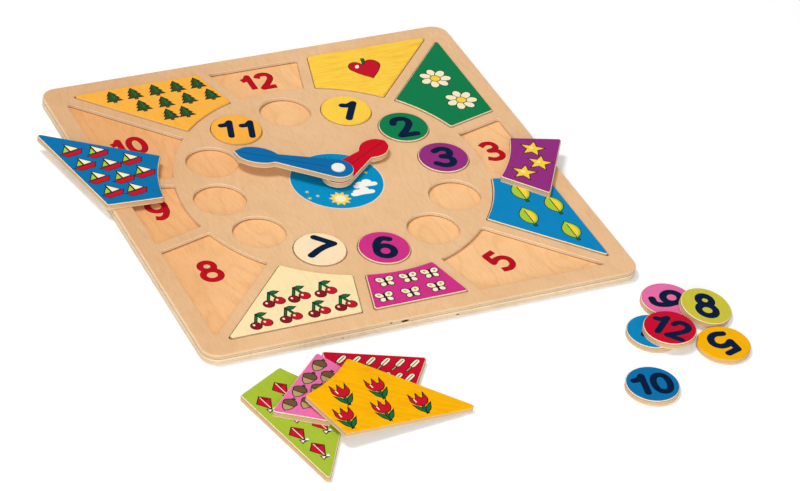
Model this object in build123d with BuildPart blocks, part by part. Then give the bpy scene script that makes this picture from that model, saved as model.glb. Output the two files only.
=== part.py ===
from build123d import *

import os
from math import acos, asin, atan2, cos, degrees, hypot, radians, sin, sqrt, tan

# Inset-puzzle teaching clock in plywood.  A square tray holds twelve wedge-shaped counting
# pieces around its rim and twelve round number discs inside them.  Two leaf-shaped hands turn
# on a plastic rivet over a printed dial.  Six wedges and six discs sit in their pockets; the
# others lie on the tray and on the table in front of it.
#
# Millimetres, +Z up.  The origin is the middle of the tray's underside, +Y points to the
# twelve and +X to the three.

# ---------------------------------------------------------------- tray
hours = 12
board_side = 300.0
board_corner_radius = 11.0
backing_thickness = 4.6
frame_thickness = 3.0
rim_width = 12.7            # solid border outside the wedge pockets
strip_width = 7.0           # wooden strip between two neighbouring wedge pockets
pocket_corner_radius = 1.8
board_edge_radius = 1.2     # rounding of the outer top edge
board_foot_chamfer = 0.6    # eased bottom edge
seam_chamfer = 0.25         # fine groove where the two panels are glued together

# ---------------------------------------------------------------- loose parts
piece_thickness = 4.0
piece_clearance = 0.5       # between a wedge and its pocket, all round
piece_edge_chamfer = 0.6    # sanded top edge of every wedge and disc
disc_diameter = 34.0
disc_clearance = 0.5
disc_pocket_web = 6.4       # wood left between two neighbouring disc pockets
disc_land = 7.0             # between the disc pockets and the arc of the wedge pockets

# ---------------------------------------------------------------- hands and pivot
hand_thickness = 4.0
hand_edge_chamfer = 0.4
hand_hub_radius = 10.2
hand_neck_radius = 2.0      # rounding of the corner between the shaft and the head
minute_hand_length = 69.5
minute_head_length = 28.5
minute_neck_width = 9.6
minute_head_width = 17.8
minute_tip_angle = 98.0     # full angle of the leaf's point
minute_tip_radius = 1.2
hour_hand_length = 53.5
hour_head_length = 22.5
hour_neck_width = 11.0
hour_head_width = 18.8
hour_tip_angle = 128.0
hour_tip_radius = 4.0
pivot_right = 1.2           # the hands' pivot from the middle of the tray, towards the three
pivot_down = 3.0            # and towards the six
minute_hand_angle = 147.0   # from +X, a little past the ten
hour_hand_angle = 30.2      # from +X, at the two
shaft_diameter = 5.0
running_clearance = 0.05    # radial, between the shaft and everything it passes through
axial_play = 0.1            # between a hand and what lies above or below it
washer_diameter = 13.0
base_washer_thickness = 1.2
hand_washer_thickness = 0.5
rivet_head_diameter = 9.2
rivet_head_height = 1.1
rivet_head_edge = 0.4       # eased rim of the head
rear_cap_diameter = 11.0
rear_cap_thickness = 1.5
rear_recess_clearance = 0.6
rear_recess_depth = 1.9

# ---------------------------------------------------------------- derived sizes
sector_angle = 360.0 / hours
half_board = board_side / 2
frame_top = backing_thickness + frame_thickness
pocket_outer = half_board - rim_width
disc_radius = disc_diameter / 2
disc_pocket_radius = disc_radius + disc_clearance
disc_ring_radius = (disc_pocket_radius + disc_pocket_web / 2) / sin(radians(sector_angle / 2))
ring_radius = disc_ring_radius + disc_pocket_radius + disc_land
wedge_depth = pocket_outer - ring_radius
bore_radius = shaft_diameter / 2 + running_clearance
hour_hand_bottom = frame_top + base_washer_thickness + axial_play
hand_washer_bottom = hour_hand_bottom + hand_thickness + axial_play
minute_hand_bottom = hand_washer_bottom + hand_washer_thickness + axial_play
rivet_head_bottom = minute_hand_bottom + hand_thickness + axial_play
rear_cap_bottom = rear_recess_depth - rear_cap_thickness
seated_top = backing_thickness + piece_thickness
pivot = Vector(pivot_right, -pivot_down)

os.makedirs("parts", exist_ok=True)


def write(solid, name):
    """Label one finished piece and store it as its own STEP file."""
    solid.label = name
    export_step(solid, f"parts/{name}.step")


def hour_angle(hour):
    """Direction of an hour's centre line, in degrees from +X."""
    return 90.0 - hour * sector_angle


def polar(radius, angle):
    """Point at a radius and an angle from +X, in the tray's plane."""
    return Vector(radius * cos(radians(angle)), radius * sin(radians(angle)))


def wedge_outline(hour, gap):
    """Outline of one hour's wedge, inside its pocket by the gap: the border, two strips, the arc."""
    wall = strip_width / 2 + gap
    apex_radius = wall / sin(radians(sector_angle / 2))
    reach = board_side
    spread = reach * tan(radians(sector_angle / 2))
    side = 2 * (pocket_outer - gap)
    with BuildSketch() as outline:
        Rectangle(side, side)
        Circle(ring_radius + gap, mode=Mode.SUBTRACT)
        with PolarLocations(apex_radius, 1, start_angle=hour_angle(hour)):
            Polygon((0, 0), (reach, -spread), (reach, spread), align=None, mode=Mode.INTERSECT)
        fillet(outline.vertices(), pocket_corner_radius)
    return outline.sketch


def arc_corner(hour, side):
    """Sharp corner where a wedge's arc meets its edge on the clockwise (+1) or other (-1) side."""
    radius = ring_radius + piece_clearance
    inset = degrees(asin((strip_width / 2 + piece_clearance) / radius))
    return polar(radius, hour_angle(hour) - side * (sector_angle / 2 - inset))


def wedge(hour, seat, pin, turn=0.0):
    """Counting piece of one hour: its point called pin lies on the origin of the seat plane,
    and it is turned there, about that point, from the way it lies in the tray."""
    up = Axis(seat.origin, seat.z_dir)
    with BuildPart() as piece:
        with BuildSketch(seat):
            add(wedge_outline(hour, piece_clearance).moved(Location(-pin)), rotation=turn)
        extrude(amount=piece_thickness)
        chamfer(piece.faces().sort_by(up)[-1].edges(), piece_edge_chamfer)
    return piece.part


def number_disc(seat):
    """Round number disc whose underside is centred on the seat plane."""
    up = Axis(seat.origin, seat.z_dir)
    with BuildPart() as disc:
        with BuildSketch(seat):
            Circle(disc_radius)
        extrude(amount=piece_thickness)
        chamfer(disc.faces().sort_by(up)[-1].edges(), piece_edge_chamfer)
    return disc.part


# ================================================================ tray
with BuildPart() as frame_panel:
    with BuildSketch(Plane.XY.offset(backing_thickness)) as frame_face:
        RectangleRounded(board_side, board_side, board_corner_radius)
        for hour in range(1, hours + 1):
            add(wedge_outline(hour, 0.0), mode=Mode.SUBTRACT)
        with PolarLocations(disc_ring_radius, hours):
            Circle(disc_pocket_radius, mode=Mode.SUBTRACT)
        with Locations(pivot):
            Circle(bore_radius, mode=Mode.SUBTRACT)
    extrude(amount=frame_thickness)
    frame_skin = frame_panel.faces().sort_by(Axis.Z)
    fillet(frame_skin[-1].outer_wire().edges(), board_edge_radius)
    chamfer(frame_skin[0].outer_wire().edges(), seam_chamfer)
write(frame_panel.part, "frame_panel")

with BuildPart() as backing_panel:
    with BuildSketch():
        RectangleRounded(board_side, board_side, board_corner_radius)
    extrude(amount=backing_thickness)
    chamfer(backing_panel.faces().sort_by(Axis.Z)[0].edges(), board_foot_chamfer)
    chamfer(backing_panel.faces().sort_by(Axis.Z)[-1].edges(), seam_chamfer)
    with Locations(Plane(pivot).rotated((180, 0, 0))):
        CounterBoreHole(bore_radius, rear_cap_diameter / 2 + rear_recess_clearance, rear_recess_depth)
write(backing_panel.part, "backing_panel")

# ================================================================ pivot
with BuildPart() as pivot_rivet:
    with BuildSketch(Plane(pivot + Vector(0, 0, rear_cap_bottom))):
        Circle(shaft_diameter / 2)
    extrude(amount=rivet_head_bottom - rear_cap_bottom)
    with BuildSketch(Plane(pivot + Vector(0, 0, rivet_head_bottom))):
        Circle(rivet_head_diameter / 2)
    extrude(amount=rivet_head_height)
    chamfer(pivot_rivet.faces().sort_by(Axis.Z)[-1].edges(), rivet_head_edge)
write(pivot_rivet.part, "pivot_rivet")


def ring(bottom, diameter, thickness, inner_radius):
    """Flat ring round the pivot, its underside at the given height."""
    with BuildPart() as flat_ring:
        with BuildSketch(Plane(pivot + Vector(0, 0, bottom))):
            Circle(diameter / 2)
            Circle(inner_radius, mode=Mode.SUBTRACT)
        extrude(amount=thickness)
    return flat_ring.part


write(ring(rear_cap_bottom, rear_cap_diameter, rear_cap_thickness, shaft_diameter / 2), "rear_cap")
write(ring(frame_top, washer_diameter, base_washer_thickness, bore_radius), "base_washer")
write(ring(hand_washer_bottom, washer_diameter, hand_washer_thickness, bore_radius), "hand_washer")


# ================================================================ hands
def hand(bottom, angle, length, head_length, neck_width, head_width, tip_angle, tip_radius):
    """Hand lying along its angle: a round hub, a shaft that tapers to a neck, and a leaf-shaped
    head.  The tip angle is the full angle of the leaf's point, before it is rounded off."""
    neck = Vector(length - head_length, neck_width / 2)
    reach = hypot(neck.X, neck.Y)
    tangent_angle = degrees(atan2(neck.Y, neck.X) + acos(hand_hub_radius / reach))
    shoulder = Vector(neck.X + head_length * 0.17, head_width * 0.425)
    widest = Vector(neck.X + head_length * 0.44, head_width / 2)
    cheek = Vector(neck.X + head_length * 0.78, head_width * 0.37)
    tip = Vector(length, 0)
    with BuildPart() as part:
        with BuildSketch() as face:
            with BuildLine():
                CenterArc((0, 0), hand_hub_radius, tangent_angle, 180 - tangent_angle)
                Line(polar(hand_hub_radius, tangent_angle), neck)
                Spline(neck, shoulder, widest, cheek, tip, tangents=[(1, 1), polar(1, -tip_angle / 2)])
                mirror(about=Plane.XZ)
            make_face()
            fillet(face.vertices().sort_by(Axis.X)[-1], tip_radius)
            neck_corners = face.vertices().filter_by_position(Axis.X, neck.X - 0.1, neck.X + 0.1)
            fillet(neck_corners, hand_neck_radius)
            Circle(bore_radius, mode=Mode.SUBTRACT)
        extrude(amount=hand_thickness)
        rim = part.faces().filter_by(Axis.Z)
        chamfer([edge for side in rim for edge in side.outer_wire().edges()], hand_edge_chamfer)
    return part.part.rotate(Axis.Z, angle).translate(pivot + Vector(0, 0, bottom))


minute_hand = hand(
    minute_hand_bottom,
    minute_hand_angle,
    minute_hand_length,
    minute_head_length,
    minute_neck_width,
    minute_head_width,
    minute_tip_angle,
    minute_tip_radius,
)
write(minute_hand, "minute_hand")

hour_hand = hand(
    hour_hand_bottom,
    hour_hand_angle,
    hour_hand_length,
    hour_head_length,
    hour_neck_width,
    hour_head_width,
    hour_tip_angle,
    hour_tip_radius,
)
write(hour_hand, "hour_hand")

# ================================================================ pieces in their pockets
for hour in (1, 2, 4, 6, 7, 11):
    arc_middle = polar(ring_radius + piece_clearance, hour_angle(hour))
    pocket_floor = Plane(arc_middle + Vector(0, 0, backing_thickness))
    write(wedge(hour, pocket_floor, arc_middle), f"piece_{hour}")

for hour in (1, 2, 3, 6, 7, 11):
    centre = polar(disc_ring_radius, hour_angle(hour))
    write(number_disc(Plane(centre + Vector(0, 0, backing_thickness))), f"disc_{hour}")

# ================================================================ wedges lying on the tray
# The ten lies across the left border, flat on the frame, its point over the table.
ten_inset = 39.2            # its middle of the arc, from the tray's left edge
ten_rise = 30.1             # and from the middle line towards the twelve
ten_turn = 11.2
ten_spot = Vector(ten_inset - half_board, ten_rise, frame_top)
ten_middle = polar(ring_radius + piece_clearance, hour_angle(10))
write(wedge(10, Plane(ten_spot), ten_middle, ten_turn), "piece_10")

# The three lies across the right border, flat on top of the four.
three_inset = 31.0
three_drop = 18.1
three_turn = -33.6
three_spot = Vector(half_board - three_inset, -three_drop, seated_top)
three_middle = polar(ring_radius + piece_clearance, hour_angle(3))
write(wedge(3, Plane(three_spot), three_middle, three_turn), "piece_3")

# ================================================================ heap of wedges on the table
# The eight and the twelve lie on the table, the nine lies flat on both, and the five leans
# over the arc of the nine with its point on the table.  Each is placed by one corner of its
# arc, counted from that of the eight.
heap_inset = 72.8           # from the tray's left edge
heap_gap = 17.7             # from the tray's front edge, besides the depth of a wedge
heap_step = 10.0            # unit of the steps between the wedges of the heap
eight_turn = 12.9
twelve_turn = -22.7
nine_turn = -48.1
five_turn = 3.1
lean_gap = 0.1              # between the leaning five and the corners that carry it

heap = Vector(heap_inset - half_board, -half_board - heap_gap - wedge_depth)
write(wedge(8, Plane(heap), arc_corner(8, -1), eight_turn), "piece_8")

twelve_spot = heap + Vector(-0.63, 0.52) * heap_step
write(wedge(12, Plane(twelve_spot), arc_corner(12, -1), twelve_turn), "piece_12")

nine_spot = heap + Vector(0.94, 0.41) * heap_step
nine_seat = Plane(nine_spot + Vector(0, 0, piece_thickness))
write(wedge(9, nine_seat, arc_corner(9, 1), nine_turn), "piece_9")

hinge_angle = 90.0 + nine_turn
downhill = polar(1.0, hinge_angle - 90.0)
five_pin = arc_corner(5, -1) + Vector(0.34, -1.54) * heap_step
outer = pocket_outer - piece_clearance
five_point = Vector(outer - (strip_width / 2 + piece_clearance) * sqrt(2), -outer)
lean_height = 2 * piece_thickness + lean_gap
lean_run = (five_point - five_pin).rotate(Axis.Z, five_turn).dot(downhill)
lean_angle = asin(lean_height / lean_run)
five_seat = Plane(
    origin=nine_spot + Vector(0, 0, lean_height),
    x_dir=polar(1.0, hinge_angle),
    z_dir=Vector(0, 0, cos(lean_angle)) + downhill * sin(lean_angle),
)
write(wedge(5, five_seat, five_pin, five_turn - hinge_angle), "piece_5")

# ================================================================ heap of discs on the table
# The four, nine, five and ten lie on the table.  The twelve lies flat on the four, and the
# eight leans on the rim of the nine.  The places are in disc diameters from the four.
disc_heap_inset = 21.0      # from the tray's right edge
disc_heap_distance = 54.5   # from the tray's front edge
disc_heap = Vector(half_board - disc_heap_inset, -half_board - disc_heap_distance)


def disc_spot(across, along):
    """Place in the heap of discs, in disc diameters from the four."""
    return disc_heap + Vector(across, along) * disc_diameter


for hour, spot in (
    (4, disc_spot(0, 0)),
    (9, disc_spot(0.72, 0.78)),
    (5, disc_spot(1.105, -0.712)),
    (10, disc_spot(-0.75, -1.37)),
    (12, disc_spot(0.27, -0.125) + Vector(0, 0, piece_thickness)),
):
    write(number_disc(Plane(spot)), f"disc_{hour}")

tilt_direction = polar(1.0, -41.6)
tilt_reach = 0.723 * disc_diameter
tilt_height = piece_thickness + lean_gap
tilt_angle = asin(tilt_height / tilt_reach)
eight_spot = disc_spot(0.72, 0.78) + tilt_direction * tilt_reach
eight_seat = Plane(
    origin=eight_spot + Vector(0, 0, disc_radius * sin(tilt_angle)),
    z_dir=Vector(0, 0, cos(tilt_angle)) + tilt_direction * sin(tilt_angle),
)
write(number_disc(eight_seat), "disc_8")
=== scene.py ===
"""Dressed model of a plywood puzzle clock: woods, paints, numbers, printed dial and studio."""

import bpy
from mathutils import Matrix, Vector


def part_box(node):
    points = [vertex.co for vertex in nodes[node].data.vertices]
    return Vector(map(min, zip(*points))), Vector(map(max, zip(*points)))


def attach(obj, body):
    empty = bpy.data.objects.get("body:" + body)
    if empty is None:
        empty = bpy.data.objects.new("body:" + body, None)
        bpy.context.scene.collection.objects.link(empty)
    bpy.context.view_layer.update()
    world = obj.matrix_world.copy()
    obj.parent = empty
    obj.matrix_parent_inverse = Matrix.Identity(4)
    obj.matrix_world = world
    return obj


bl_info = {
    "name": "Puzzle clock dressing",
    "version": (1, 0, 0),
    "blender": (4, 5, 0),
    "location": "View3D > Sidebar > Puzzle clock",
    "description": "Prints, paints and lights a plywood puzzle clock over its solid parts",
    "category": "Object",
}

from math import cos, radians, sin

import bmesh
import bpy
from mathutils import Matrix, Vector

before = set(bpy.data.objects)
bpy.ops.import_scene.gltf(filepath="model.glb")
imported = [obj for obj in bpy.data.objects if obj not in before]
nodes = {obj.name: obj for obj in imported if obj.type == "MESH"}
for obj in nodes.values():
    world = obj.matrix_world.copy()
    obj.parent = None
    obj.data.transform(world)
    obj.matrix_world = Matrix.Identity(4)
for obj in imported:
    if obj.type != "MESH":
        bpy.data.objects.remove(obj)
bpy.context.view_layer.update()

MM = 0.001
HOURS = range(1, 13)
SECTOR = 30.0
PAINTS = "yellow green purple blue orange magenta cream lime pink deep_blue apricot red"
PAINT_NAMES = dict(zip(HOURS, PAINTS.split()))

# A loose wedge is turned from the way it lies in the tray, in degrees, and has the outline of a
# wedge that is still in its pocket, some quarter turns away.
LOOSE_TURNS = {3: -33.6, 5: 3.1, 8: 12.9, 9: -48.1, 10: 11.2, 12: -22.7}
LIKE_WEDGE = {3: 6, 5: 2, 8: 2, 9: 6, 10: 1, 12: 6}
DISC_TURNS = dict(zip(HOURS, (-32, -2, -14, -24, 195, -12, -46, -18, -80, -12, -16.5, -50)))

# The paint of some hours runs over the sanded edge.  On two wedges it is thin, and shows a grain
# that is turned from the tray's by so many degrees.
EDGE_PAINTED = (1, 5, 11)
GRAIN_TURNS = {1: 90, 5: 60}

# Sawn edges: half a glue line, the blur between two tones, the lacquered skin, the part of it that
# counts as face, the radius of the sanded arris, and the share to which a foot's seam is darkened:
# its glue line, darkened further as painted shade in the joint.
PLIES = 3
GLUE_HALF = 0.09 * MM
TONE_BLUR = 0.08 * MM
SKIN = 0.1 * MM
FACE_DEPTH = 0.05 * MM
ARRIS = 0.4 * MM
SEAM_PAINTED_SHADE = 0.4

# How far under the top face each band along an edge reaches: the tray's rim, the pale band of
# painted highlight along the arris of its cut-outs, a piece's rim, the dark line under it, and a
# lip of paint that runs over.
FRAME_RIM = 0.55 * MM
CUT_HIGHLIGHT = 0.5 * MM
PIECE_RIM = 0.4 * MM
UNDER_RIM_DEPTH = 0.85 * MM
LIP_DEPTH = 0.7 * MM

# The tray's rim is its face with a share of the ply's tone; a lip is the paint's colour, darkened.
# The plies in the cut-outs' walls are more even, and paled by a share: painted light, a lighter
# copy of the tray's edges.  All that lies within the margin of the outline is the tray's outer
# edge.
FRAME_RIM_SHARE = 0.35
LIP_SHADE, LIP_LIFT = 0.55, 0.02
CUT_EVENING, CUT_PAINTED_LIGHT = 0.3, 0.15
OUTER_MARGIN = 8 * MM

# Shares by which handling darkens the edges of the loose pieces and of the hands.
PIECE_HANDLING = 0.28
HAND_HANDLING = 0.1

# Veneer, in mm across the grain, along it and through the sheet: pores, drawn a little coarser
# than real so that they show; cloudy patches, where the lacquer took unevenly; and the long
# contour lines of the rotary cut, with how many of them a patch of that size has.
PORES = (0.9, 9, 0.5)
CLOUDS = 40
CONTOURS = (34, 90, 34)
CONTOUR_COUNT = 17.0

# The tray's faces change tone towards the far left corner over a length in mm, from a start given
# as a share of it, in a direction in degrees.
CORNER_FADE_LENGTH = 100
CORNER_FADE_START = -0.3
CORNER_FADE_TURN = 205.5

# Rolled paint: width of its streaks, and their width as a share of their length.
STREAK = 2.2 * MM
STREAK_SHARE = 0.14

# Index of refraction of lacquer, paint and ink.
FILM_IOR = 1.5

# Background paper: half its width and how far it lies below the tray.  Between two distances from
# the tray's middle, in metres, its lift to white grows from one strength to the other.
SWEEP_HALF = 6.0
SWEEP_DROP = 0.05 * MM
SWEEP_NEAR, SWEEP_FAR = 0.6, 2.2
LIFT_NEAR, LIFT_FAR = 0.2, 0.75

tray_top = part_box("frame_panel")[1].z
pocket_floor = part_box("frame_panel")[0].z
pivot = sum(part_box("pivot_rivet"), Vector()) / 2


def linear(code):
    """Linear colour of an sRGB hex value."""
    parts = [int(code[i:i + 2], 16) / 255 for i in (1, 3, 5)]
    return tuple(c / 12.92 if c <= 0.04045 else ((c + 0.055) / 1.055) ** 2.4 for c in parts)


def colour_property(name, code, description):
    return bpy.props.FloatVectorProperty(
        name=name,
        description=description,
        default=linear(code),
        subtype="COLOR",
        size=3,
        min=0.0,
        max=1.0,
    )


def length_property(name, millimetres, description):
    return bpy.props.FloatProperty(
        name=name,
        description=description,
        default=millimetres * MM,
        min=0.0,
        precision=5,
        subtype="DISTANCE",
        unit="LENGTH",
    )


def angle_property(name, degrees, description):
    return bpy.props.FloatProperty(
        name=name, description=description, default=radians(degrees), subtype="ANGLE"
    )


def power_property(name, watts, description):
    return bpy.props.FloatProperty(
        name=name, description=description, default=watts, min=0.0, unit="POWER"
    )


def hour_paint(hour, code):
    return colour_property(f"Hour {hour}", code, f"Paint of hour {hour}")


# ------------------------------------------------------------------ what a user would change
class ClockSizes(bpy.types.PropertyGroup):
    """Sizes of everything that is printed or painted on the wood."""

    paint_thickness: length_property("Paint thickness", 0.03, "Thickness of a coloured face")
    ink_step: length_property("Ink step", 0.015, "Height of each printed layer over the one below")
    bare_rim: length_property("Bare rim", 0.3, "Wood left bare between a face and its sanded edge")
    disc_number_height: length_property("Disc number height", 23.6, "Height of a single figure")
    disc_number_stroke: length_property("Disc number stroke", 4.9, "Width of its stroke")
    disc_double_height: length_property("Disc double height", 20.6, "Height of a pair of figures")
    disc_double_stroke: length_property("Disc double stroke", 4.4, "Width of their stroke")
    pocket_number_height: length_property("Pocket number height", 22.8, "Height of a red figure")
    pocket_double_height: length_property("Pocket double height", 20.0, "Height of two red figures")
    pocket_number_stroke: length_property("Pocket number stroke", 4.35, "Width of a red stroke")
    dial_diameter: length_property("Dial diameter", 61.2, "Diameter of the printed blue dial")
    dial_rim: length_property("Dial rim", 0.5, "Width of the pale line round the dial")
    outline_width: length_property("Outline width", 0.6, "Dark outline round each motif")


class ClockColours(bpy.types.PropertyGroup):
    """Colours of the woods, paints and inks."""

    tray_face: colour_property("Tray face", "#ECC091", "Sanded face of the tray's frame")
    floor_face: colour_property("Pocket floor", "#FAC58D", "Face of the backing in the pockets")
    long_ply: colour_property("Long plies", "#F4DEBD", "Sawn edge of the plies that lie along it")
    cross_ply: colour_property("Cross plies", "#E3C298", "End grain of the plies between them")
    glue_line: colour_property("Glue line", "#B58F62", "Line between two plies")
    # Painted light: the tone towards which the tray's edges and cut-out walls are paled, and the
    # pale band of painted highlight along the cut-outs' arris.
    sanded_ply: colour_property("Sanded ply", "#FFF3DE", "Tone towards which sanding pales them")
    handled_ply: colour_property("Handled ply", "#D3A77C", "Tone towards which hands darken them")
    # A dark line under the pale rim of a painted piece.
    sealer_line: colour_property("Sealer line", "#A9855C", "Line under the rim of a painted piece")
    piece_wood: colour_property("Piece wood", "#F8E0B6", "Bare faces of the loose pieces")
    plastic: colour_property("Rivet plastic", "#EFEFEA", "Plastic of the rivet and washers")
    navy_ink: colour_property("Disc numbers", "#00193A", "Ink of the numbers on the discs")
    red_ink: colour_property("Pocket numbers", "#B80A1E", "Ink of the numbers in the pockets")
    minute_hand: colour_property("Minute hand", "#0067A3", "Paint of the long hand")
    hour_hand: colour_property("Hour hand", "#CA0122", "Paint of the short hand")
    dial: colour_property("Dial", "#008DC2", "Ground of the printed dial")
    hour_1: hour_paint(1, "#FECF46")
    hour_2: hour_paint(2, "#007947")
    hour_3: hour_paint(3, "#922B7C")
    hour_4: hour_paint(4, "#0084BC")
    hour_5: hour_paint(5, "#F8B300")
    hour_6: hour_paint(6, "#CE3083")
    hour_7: hour_paint(7, "#FBE3AE")
    hour_8: hour_paint(8, "#A6BD35")
    hour_9: hour_paint(9, "#E86FA8")
    hour_10: hour_paint(10, "#006FA8")
    hour_11: hour_paint(11, "#FAB242")
    hour_12: hour_paint(12, "#C8032C")
    disc_7: colour_property("Disc of seven", "#FCE1B8", "Paint of disc 7, a pinker cream")
    disc_8: colour_property("Disc of eight", "#CDC43C", "Paint of disc 8, a yellower green")


class StudioSettings(bpy.types.PropertyGroup):
    """Camera and lamps."""

    lens: bpy.props.FloatProperty(
        name="Lens", description="Focal length", default=146.66, min=20.0, subtype="DISTANCE_CAMERA"
    )
    azimuth: angle_property("Azimuth", -29.06, "Direction of the camera from the tray's front")
    elevation: angle_property("Elevation", 36.117, "Height of the camera over the table")
    roll: angle_property("Roll", 7.154, "Turn of the camera about its own axis")
    distance: length_property("Distance", 2075.3, "From the camera to the point it looks at")
    key_power: power_property("Key lamp", 30.0, "Power of the main lamp")
    front_power: power_property("Front lamp", 24.0, "Power of the low lamp in front")
    room_light: bpy.props.FloatProperty(
        name="Room light", description="Even light from all round", default=0.33, min=0.0
    )


# ------------------------------------------------------------------ materials
def add(tree, kind, sockets=None, **settings):
    """Adds a shader node with its settings and its socket values or links."""
    node = tree.nodes.new("ShaderNode" + kind)
    for name, value in settings.items():
        setattr(node, name, value)
    for name, value in (sockets or {}).items():
        socket = node.inputs[name]
        if isinstance(value, bpy.types.NodeSocket):
            tree.links.new(value, socket)
        else:
            socket.default_value = (*value, 1.0) if socket.type == "RGBA" else value
    return node


def start_tree(block):
    """Empty node tree of a material or a world."""
    block.use_nodes = True
    block.node_tree.nodes.clear()
    return block.node_tree


def start_material(name):
    material = bpy.data.materials.new(name)
    return material, start_tree(material)


def end_material(tree, colour, normal, roughness, specular, ior=FILM_IOR):
    """Adds the shader with its patterns and its even values, and the output."""
    sockets = {
        "Base Color": colour,
        "Roughness": roughness,
        "Specular IOR Level": specular,
        "IOR": ior,
    }
    if normal:
        sockets["Normal"] = normal
    shader = add(tree, "BsdfPrincipled", sockets)
    add(tree, "OutputMaterial", {"Surface": shader.outputs["BSDF"]})


def calc(tree, operation, *values):
    """Arithmetic on values or sockets."""
    return add(tree, "Math", dict(enumerate(values)), operation=operation).outputs[0]


def mapped(tree, vector, **sockets):
    """Coordinates shifted, turned and scaled."""
    return add(tree, "Mapping", {"Vector": vector, **sockets}).outputs["Vector"]


def noise(tree, vector, scale, detail, **sockets):
    """Cloudy pattern from 0 to 1."""
    sockets = {"Vector": vector, "Scale": scale, "Detail": detail, **sockets}
    return add(tree, "TexNoise", sockets).outputs["Fac"]


def ramp(tree, pattern, *stops):
    """Colour that runs with a pattern through stops, each a position and a colour."""
    node = add(tree, "ValToRGB", {"Fac": pattern})
    elements = node.color_ramp.elements
    while len(elements) < len(stops):
        elements.new(1.0)
    for element, (position, colour) in zip(elements, stops):
        element.position = position
        element.color = (*colour, 1.0)
    return node.outputs["Color"]


def mix(tree, share, first, second, **settings):
    """Mix of two colours by a share."""
    sockets = {0: share, 6: first, 7: second}
    return add(tree, "Mix", sockets, data_type="RGBA", **settings).outputs[2]


def ranged(tree, value, *limits):
    """Value carried from one range to another."""
    sockets = dict(zip(("From Min", "From Max", "To Min", "To Max"), limits))
    return add(tree, "MapRange", {"Value": value, **sockets}).outputs["Result"]


def bumped(tree, pattern, strength, height, **sockets):
    """Normal of a surface with a relief, whose height is in mm."""
    sockets = {"Height": pattern, "Strength": strength, "Distance": height * MM, **sockets}
    return add(tree, "Bump", sockets).outputs["Normal"]


def object_coords(tree):
    return add(tree, "TexCoord").outputs["Object"]


def laid_out(tree, seat, unit=1.0):
    """Coordinates that lie with a piece, in metres or in a unit of so many metres."""
    home = seat.inverted()
    return mapped(
        tree,
        object_coords(tree),
        Location=home.to_translation() / unit,
        Rotation=Vector(home.to_euler()),
        Scale=Vector((1, 1, 1)) / unit,
    )


def repeats(sizes):
    """Scale of a pattern that repeats at the given sizes in mm."""
    return tuple(1 / (size * MM) for size in sizes)


def grey(level):
    return (level, level, level)


def mixed(first, second, share):
    return tuple(a + (b - a) * share for a, b in zip(first, second))


def colour_of(name):
    """Colour that the panel gives to a part."""
    return tuple(getattr(bpy.context.scene.clock_colours, name))


def ply_stops(face, tones, thickness, rim, foot=None):
    """Colour stops up a sawn edge, from one face to the other: plies along and across the edge
    by turns, a glue line at each joint, a dark foot where another sheet is glued on, its glue line
    darkened further as painted shade, and the rim's bands under the top face, from the lowest,
    each as its depth and tone."""
    long_ply, cross_ply, glue = tones
    blur = TONE_BLUR / thickness
    joint = GLUE_HALF / thickness
    skin = SKIN / thickness
    height, tone = foot or (SKIN, face)
    stops = [(height / thickness, tone), (height / thickness + blur, long_ply)]
    for ply in range(1, PLIES):
        edge = ply / PLIES
        below, above = (long_ply, cross_ply) if ply % 2 else (cross_ply, long_ply)
        stops += [(edge - joint - blur, below), (edge - joint, glue), (edge + joint, glue)]
        stops += [(edge + joint + blur, above)]
    under = long_ply
    for depth, tone in rim:
        stops += [(1 - depth / thickness - blur, under), (1 - depth / thickness, tone)]
        under = tone
    return stops + [(1 - skin - blur, under), (1 - skin, face)]


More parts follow.
